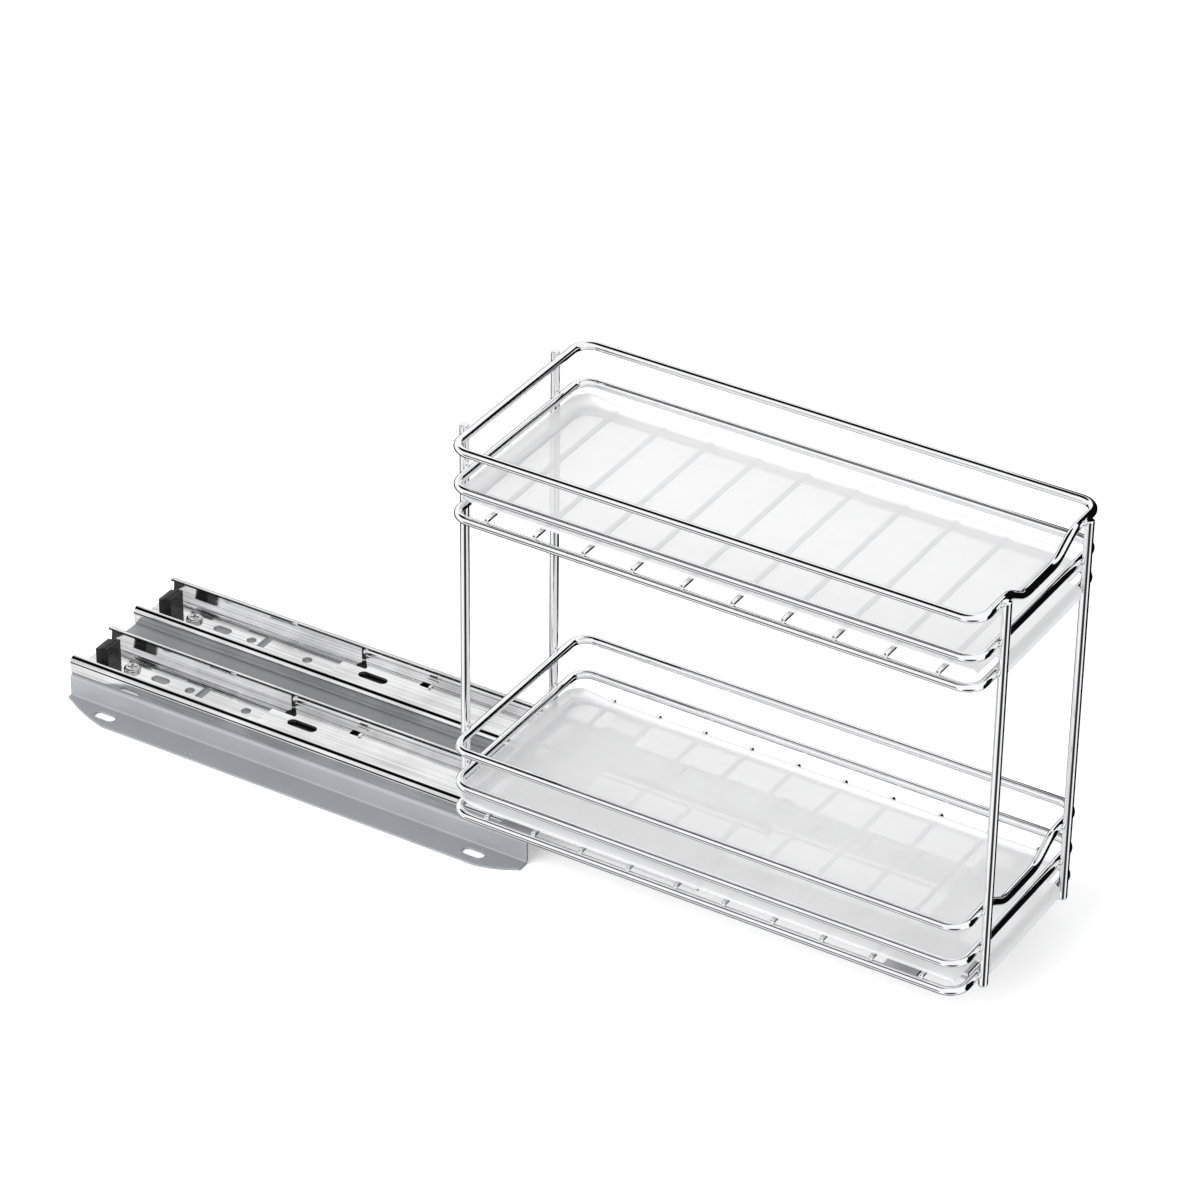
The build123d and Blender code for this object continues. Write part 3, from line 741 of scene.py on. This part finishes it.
def makeBumper(side, slideY):
    b = bumper
    front = b["rear"] + b["length"]
    slopeX = front - b["topLength"]
    stepX = slopeX - b["slopeLength"]
    stepZ = b["top"] - b["slopeDrop"]
    groove, _ = arc((front - b["topLength"] / 2, b["top"]), b["groove"], 0, -180, 9)
    outline = np.concatenate([
        [(b["rear"], b["floor"]), (front, b["floor"]), (front, b["top"])], groove,
        [(slopeX, b["top"]), (stepX, stepZ), (b["rear"], stepZ - b["stepDrop"])]])
    outline[:, 1] += bracket["height"]
    half = b["width"] / 2
    turnedOutline = outline[:, ::-1][::-1]  # from (x, z) to (z, x), and still counterclockwise
    shape = prism(turnedOutline, slideY - half, slideY + half, alongY)
    obj = meshObject("bumper_block_" + side, shape)
    roundEdges(obj, b["edge"], sharpest=50, segments=3)
    weighNormals(obj, sharpest=60)
    fitPiece(obj, "base", blackPlastic, ["bumper_" + side])


for side, slideY in slideSides.items():
    makeBumper(side, slideY)
print("bumpers are made")


# Screws: a domed head with a crossed recess on a plain shank
screw = {"head": 4, "headHeight": 1.8, "headRound": 1.08, "shank": 2, "tip": 0.4, "recess": 4,
         "recessWidth": 1, "recessDepth": 1.08, "edge": 0.12}


def makeScrews(name, points, seat, length, facing, body, nodes):
    # seat is the height under the heads, facing the recess's angle in degrees
    s = screw
    dome, _ = arc((s["head"] - s["headRound"], s["headHeight"] - s["headRound"]), s["headRound"], 0, 90, 9)
    point = [(0, -length), (s["shank"] - s["tip"], -length), (s["shank"], -length + s["tip"])]
    profile = np.concatenate([point, [(s["shank"], 0), (s["head"], 0)], dome, [(0, s["headHeight"])]])
    obj = meshObject(name, joined([turned(profile, (x, y, seat), around=40) for x, y in points]))
    long, wide = s["recess"] / 2, s["recessWidth"] / 2
    turn = radians(facing)
    spin = np.array([[cos(turn), sin(turn)], [-sin(turn), cos(turn)]])
    bars = [boxOutline((-long, -wide), (long, wide)) @ spin, boxOutline((-wide, -long), (wide, long)) @ spin]
    top = seat + s["headHeight"]
    low, high = top - s["recessDepth"], top + past
    for bar in bars:
        cut(obj, [prism(bar + np.array(center), low, high, alongZ()) for center in points])
    roundEdges(obj, s["edge"], sharpest=40)
    weighNormals(obj)
    fitPiece(obj, body, screwSteel, nodes)


outerPoints = [(x * bracket["screwX"], y) for x in (-1, 1) for y in slideSides.values()]
makeScrews("outer_member_screw_heads", outerPoints, seat=13.2, length=5, facing=30, body="base",
           nodes=["outer_member_screws"])
platePoints = [(x, y) for x in inner["screws"] for y in slideSides.values()]
makeScrews("plate_screw_heads", platePoints, seat=22.9, length=4.9, facing=15, body="rack",
           nodes=["plate_screws"])
print("screws are made")


# Basket: six wire loops, four posts and twenty rungs
basket = {
    "centerX": 219.5, "halfLength": 126.3, "halfWidth": 53.36, "corner": 8.35, "wire": 2,
    "tiers": {"lower": 23.57, "upper": 177.44}, "midRise": 14.55, "topRise": 33.5,
    "dip": 8, "dipFlat": 29, "dipRamp": 14, "dipBend": 18,
    "postX": 130.0, "postY": 36.8, "postWire": 2.1, "postTop": 213.4,
    "postBottom": {"front": 19.66, "rear": 21.8}, "tipRound": 1.2, "topRound": 0.5,
    "rungWire": 1.15, "rungRise": 3.05, "rungEnds": (-53.56, 55.36), "rungRound": 0.3,
    "rungCount": 10, "rungPitch": 24.15,
}


def makeLoop(tier, kind, level, drop):
    b = basket
    front, rear = b["centerX"] + b["halfLength"], b["centerX"] - b["halfLength"]
    side = b["halfWidth"]
    corners = [(rear, -side, level), (front, -side, level)]
    radii = [b["corner"]] * 2
    if drop:
        low = b["dipFlat"] / 2
        high = low + b["dipRamp"]
        corners += [(front, -high, level), (front, -low, level - drop), (front, low, level - drop),
                    (front, high, level)]
        radii += [b["dipBend"]] * 4
    corners += [(front, side, level), (rear, side, level)]
    radii += [b["corner"]] * 2
    points, tangents = bentPath(corners, radii, True)
    obj = meshObject(f"{tier}_{kind}_wire", wireTube(points, tangents, b["wire"]))
    obj.data.shade_smooth()
    fitPiece(obj, "rack", chromeWire, [f"{tier}_{kind}_loop"])


def rodProfile(radius, low, high, lowRound, highRound, steps=6):
    # a straight rod whose two ends are rounded by quarter circles; shading changes only within the margin
    margin = 0.4
    start, _ = arc((radius - lowRound, low + lowRound), lowRound, -90, 0, steps)
    finish, _ = arc((radius - highRound, high - highRound), highRound, 0, 90, steps)
    straight = [(radius, low + lowRound + margin), (radius, high - highRound - margin)]
    return np.concatenate([[(0, low)], start, straight, finish, [(0, high)]])


def makePosts():
    b = basket
    for end, way in (("front", 1), ("rear", -1)):
        bottom = b["postBottom"][end]
        profile = rodProfile(b["postWire"], bottom, b["postTop"], b["tipRound"], b["topRound"])
        for side, across in (("near", -1), ("far", 1)):
            base = (b["centerX"] + way * b["postX"], across * b["postY"], 0)
            obj = meshObject(f"post_wire_{end}_{side}", turned(profile, base))
            shadeSmooth(obj)
            fitPiece(obj, "rack", chromeWire, [f"post_{end}_{side}"])


def makeRungs(tier, level):
    b = basket
    profile = rodProfile(b["rungWire"], *b["rungEnds"], b["rungRound"], b["rungRound"], steps=4)
    for number in range(b["rungCount"]):
        x = b["centerX"] + (number - (b["rungCount"] - 1) / 2) * b["rungPitch"]
        shape = turned(profile, (x, 0, level + b["rungRise"]), around=24, along="y")
        obj = meshObject(f"{tier}_rung_wire_{number + 1:02d}", shape)
        shadeSmooth(obj)
        fitPiece(obj, "rack", chromeWire, [f"{tier}_rung_{number + 1:02d}"])


for tier, level in basket["tiers"].items():
    makeLoop(tier, "bottom", level, 0)
    makeLoop(tier, "mid", level + basket["midRise"], 0)
    makeLoop(tier, "top", level + basket["topRise"], basket["dip"])
    makeRungs(tier, level)
makePosts()
print("basket wires are made")


# Cross plates: straps under the basket, between its lower rails
plate = {"offset": 96.5, "length": 16, "halfWidth": 51.9, "bottom": 21.4, "sheet": 1.5, "corner": 1.5,
         "hole": 2.1, "edge": 0.2}


def makeCrossPlate(end, x):
    p = plate
    halfX, halfY = p["length"] / 2 - p["corner"], p["halfWidth"] - p["corner"]
    low, high = p["bottom"], p["bottom"] + p["sheet"]
    ways = ((1, 1, 0), (-1, 1, 90), (-1, -1, 180), (1, -1, 270))
    corners = [arc((x + wayX * halfX, wayY * halfY), p["corner"], start, start + 90, 6)[0]
               for wayX, wayY, start in ways]
    outline = np.concatenate(corners)
    obj = meshObject("cross_strap_" + end, prism(outline, low, high, alongZ()))
    holes = [roundOutline((x, y), p["hole"]) for y in slideSides.values()]
    cut(obj, [prism(hole, low - past, high + past, alongZ()) for hole in holes])
    roundEdges(obj, p["edge"])
    weighNormals(obj)
    fitPiece(obj, "rack", slideSteel, ["cross_plate_" + end])


makeCrossPlate("rear", basket["centerX"] - plate["offset"])
makeCrossPlate("front", basket["centerX"] + plate["offset"])
print("cross plates are made")


# Liners: a shallow tray of frosted sheet whose floor runs out at the front into a curled lip
liner = {
    "rise": 4.25, "wall": 1.2, "shift": {"lower": -2.2, "upper": 1.7}, "rearReach": 122.3, "frontReach": 123.8,
    "halfFloor": 49.65, "corner": 7, "sideLean": 29, "rearLean": 48, "drawn": 6.2, "footRun": 2.5,
    "footRise": {"side": 1.2, "rear": 2.2}, "sideRim": 3.1, "rearRim": 4.7, "ramp": 14,
    "lipHalf": 33, "lipOut": 130.6, "lipDrop": 4.8, "lipBend": 3.4, "edge": 0.3,
    "cutBehind": 20, "cutHalf": 80,
}


def linerWalls():
    # round the floor's outline each wall starts flat, curves up and leans out, and is drawn too high at first
    # curve(s) = (1 - s)^2 * inside + 2 s (1 - s) * foot + s^2 * risen, then a straight line to the drawn height
    # lean out per height = tan(side) * way + (tan(rear) - tan(side)) * backward, but only way at the front ends
    n = liner
    halfX, halfY = n["rearReach"] - n["corner"], n["halfFloor"] - n["corner"]
    farBend, farWay = arc((-halfX, halfY), n["corner"], 90, 180, 12)
    nearBend, nearWay = arc((-halfX, -halfY), n["corner"], 180, 270, 12)
    across = np.array([(0.0, 1.0)])
    front = np.array([(n["frontReach"], n["halfFloor"])])
    plan = np.concatenate([front, farBend, nearBend, front * [1, -1]])
    way = np.concatenate([across, farWay, nearWay, -across])
    isBend = (np.arange(len(plan)) % (len(plan) - 1) > 0)[:, None]
    sideLean, rearLean = tan(radians(n["sideLean"])), tan(radians(n["rearLean"]))
    lean = sideLean * way + (rearLean - sideLean) * isBend * np.array([-1, 0])
    rise = n["footRise"]["side"] + (n["footRise"]["rear"] - n["footRise"]["side"]) * way[:, :1] ** 2
    inside = np.concatenate([plan - n["footRun"] * way, 0 * rise], axis=1)[:, None]
    foot = np.concatenate([plan, 0 * rise], axis=1)[:, None]
    risen = np.concatenate([plan + lean * rise, rise], axis=1)[:, None]
    drawn = np.concatenate([plan + lean * n["drawn"], 0 * rise + n["drawn"]], axis=1)[:, None]
    s = np.linspace(0, 1, 12)[None, :, None]
    curve = (1 - s) ** 2 * inside + 2 * s * (1 - s) * foot + s ** 2 * risen
    return np.concatenate([curve, drawn], axis=1)


def makeLiner(tier, level):
    # the walls, the floor between them and the lip at the front edge make the outer face
    n = liner
    floor = level + n["rise"]
    walls = linerWalls() + np.array([0, n["shift"][tier], 0])
    rows, columns = walls.shape[:2]
    frontX, lipX = n["frontReach"], n["lipOut"] - n["wall"]
    lipY = np.linspace(-n["lipHalf"], n["lipHalf"], 23)
    corners, radii = [(frontX, 0), (lipX, 0), (lipX, -n["lipDrop"])], [0, n["lipBend"] - n["wall"], 0]
    curl, _ = bentPath(corners, radii, False, steps=10, margin=0.1)
    lip = np.stack(np.broadcast_arrays(curl[:, :1], lipY[None], curl[:, 1:]), axis=2)
    wallFaces = gridFaces(rows, columns, False, False)[:, ::-1]
    lipFaces = gridFaces(*lip.shape[:2], False, False) + rows * columns
    floorFace = np.concatenate([np.arange(rows) * columns, rows * columns + np.arange(len(lipY))])[::-1]
    verts = np.concatenate([walls.reshape(-1, 3), lip.reshape(-1, 3)]) + np.array([basket["centerX"], 0, floor])
    faces = wallFaces.tolist() + lipFaces.tolist() + [floorFace.tolist()]
    obj = meshObject(tier + "_liner_sheet", (verts, faces))
    thick = obj.modifiers.new("sheet", "SOLIDIFY")
    thick.thickness = n["wall"] * mm
    thick.offset = -1
    thick.use_even_offset = True
    bpy.context.view_layer.update()
    settle(obj)
    rearX = basket["centerX"] - n["rearReach"]
    sideZ, rearZ, topZ = floor + n["sideRim"], floor + n["rearRim"], floor + 3 * n["drawn"]
    frontEnd, rearEnd = basket["centerX"] + frontX + past, rearX - n["cutBehind"]
    above = [(sideZ, frontEnd), (sideZ, rearX + n["ramp"]), (rearZ, rearX), (rearZ, rearEnd), (topZ, rearEnd),
             (topZ, frontEnd)]
    cut(obj, [prism(above, -n["cutHalf"], n["cutHalf"], alongY)])  # what stands above the rim goes
    roundEdges(obj, n["edge"], sharpest=50, segments=3)
    weighNormals(obj, sharpest=60)
    fitPiece(obj, "rack", frostedLiner, [tier + "_liner"])


for tier, level in basket["tiers"].items():
    makeLiner(tier, level)
print("liners are made")


# Floor, light and camera
studio = {
    "floorSize": 6000, "floorDrop": 0.05, "floorTones": (0.9, 0.91), "floorRange": (0.3, 0.7), "floorCloud": 2,
    "floorGlow": 0.36, "horizon": 1.3, "zenith": 0.5, "roomTone": 1.0, "patchTone": 0.001,
    "cardLow": (215, 270, -500), "cardHigh": (1800, 270, 460), "cardTones": (0.002, 0.004), "cardCloud": 3,
    "lampPower": 34, "lampSize": 1600, "lampPlace": (-400, -1550, 1000), "lampTurn": (61, 0, -18),
    "darkPatches": [  # direction, cosine where the patch starts and where it is full, darkness
        ((-0.433, 0, 0.9), 0.85, 0.915, 1),
        ((0.6, 0.78, -0.15), 0.76, 0.85, 1),
        ((-0.45, 0.5, -0.74), 0.54, 0.68, 0.99),
        ((0.5, -0.66, -0.56), 0.86, 0.96, 0.97),
        ((-0.433, -0.85, -0.3), 0.96, 0.985, 0.95),
    ],
}
camera = {  # the photographer's place and the camera's right, up and backward directions
    "sensor": 36, "lens": 153.218, "clip": (0.05, 20), "place": (1100.548, -1603.273, 1328.785),
    "right": (0.85334498, 0.52124592, 0.01024873), "up": (-0.29019045, 0.45856318, 0.83994602),
    "backward": (0.43311875, -0.7197378, 0.54257318),
}


def makeWorld():
    # mirror rays see a white room with soft dark patches, plain light comes from a sky that is palest low down
    world = bpy.data.worlds.new("studio")
    scene.world = world
    sheet = NodeSheet(world)
    toward = sheet.add("ShaderNodeTexCoord", output="Generated")
    dark = None
    for direction, start, full, depth in studio["darkPatches"]:
        direction = np.array(direction) / np.linalg.norm(direction)
        values = {0: toward, 1: tuple(direction)}
        near = sheet.add("ShaderNodeVectorMath", {"operation": "DOT_PRODUCT"}, values, output=1)
        patch = near.between(start, full) * depth
        dark = patch if dark is None else dark.math("MAXIMUM", dark, patch)
    room = sheet.blend(1 - dark, gray(studio["patchTone"]), gray(studio["roomTone"]))
    ray = {name: sheet.add("ShaderNodeLightPath", output=name)
           for name in ("Is Camera Ray", "Is Glossy Ray", "Is Transmission Ray")}
    height = sheet.add("ShaderNodeSeparateXYZ", {}, {"Vector": toward}, output=2)
    sky = sheet.blend(height.between(0, 1), gray(studio["horizon"]), gray(studio["zenith"]))
    color = sheet.blend(ray["Is Glossy Ray"], sky, room)
    seen = ray["Is Camera Ray"].math("MAXIMUM", ray["Is Camera Ray"], ray["Is Transmission Ray"])
    color = sheet.blend(seen, color, (1, 1, 1, 1))
    background = sheet.add("ShaderNodeBackground", {}, {"Color": color, "Strength": 1.0})
    sheet.add("ShaderNodeOutputWorld", {}, {"Surface": background})


def makeFloor():
    half, drop = studio["floorSize"] / 2, studio["floorDrop"]
    corners = np.array([(-half, -half, -drop), (half, -half, -drop), (half, half, -drop), (-half, half, -drop)])
    floor = meshObject("studio_floor", (corners, [[0, 1, 2, 3]]))
    material, sheet = startMaterial("studioFloor")
    dull, bright = studio["floorTones"]
    cloud = sheet.noise(studio["floorCloud"])
    color = sheet.blend(cloud.between(*studio["floorRange"]), gray(dull), gray(bright))
    paper = sheet.add("ShaderNodeBsdfDiffuse", {}, {"Color": color})
    light = sheet.add("ShaderNodeEmission", {}, {"Color": (1, 1, 1, 1), "Strength": studio["floorGlow"]})
    both = sheet.add("ShaderNodeAddShader", {}, {0: paper, 1: light})
    seen = sheet.add("ShaderNodeLightPath", output="Is Camera Ray")
    shown = sheet.add("ShaderNodeMixShader", {}, {0: seen, 1: paper, 2: both})
    sheet.add("ShaderNodeOutputMaterial", {}, {"Surface": shown})
    floor.data.materials.append(material)
    floor.visible_glossy = False


def makeBlackCard():
    # a card behind the front end that only mirror rays meet, seen in the front wires more than in the rear ones
    (x0, y, z0), (x1, _, z1) = studio["cardLow"], studio["cardHigh"]
    corners = np.array([(x0, y, z0), (x1, y, z0), (x1, y, z1), (x0, y, z1)], dtype=float)
    card = meshObject("black_card", (corners, [[0, 1, 2, 3]]))
    material, sheet = startMaterial("blackCard")
    dull, bright = studio["cardTones"]
    color = sheet.blend(sheet.noise(studio["cardCloud"]), gray(dull), gray(bright))
    glow = sheet.add("ShaderNodeEmission", {}, {"Color": color, "Strength": 1})
    sheet.add("ShaderNodeOutputMaterial", {}, {"Surface": glow})
    card.data.materials.append(material)
    for kind in ("camera", "diffuse", "transmission", "volume_scatter", "shadow"):
        setattr(card, "visible_" + kind, False)


def makeKeyLight():
    lamp = bpy.data.lights.new("softbox", "AREA")
    lamp.shape = "SQUARE"
    lamp.size = studio["lampSize"] * mm
    lamp.energy = studio["lampPower"]
    obj = bpy.data.objects.new("softbox", lamp)
    obj.location = np.array(studio["lampPlace"]) * mm
    obj.rotation_euler = np.radians(studio["lampTurn"])
    obj.visible_glossy = False
    obj.visible_camera = False
    scene.collection.objects.link(obj)


def makeCamera():
    data = bpy.data.cameras.new("photographer")
    data.sensor_width = camera["sensor"]
    data.lens = camera["lens"]
    data.clip_start, data.clip_end = camera["clip"]
    obj = bpy.data.objects.new("photographer", data)
    turn = Matrix([camera["right"], camera["up"], camera["backward"]]).transposed().to_4x4()
    turn.translation = np.array(camera["place"]) * mm
    obj.matrix_world = turn
    scene.collection.objects.link(obj)
    scene.camera = obj


makeWorld()
makeFloor()
makeBlackCard()
makeKeyLight()
makeCamera()
scene.view_settings.view_transform = "Standard"
print("stage is set")
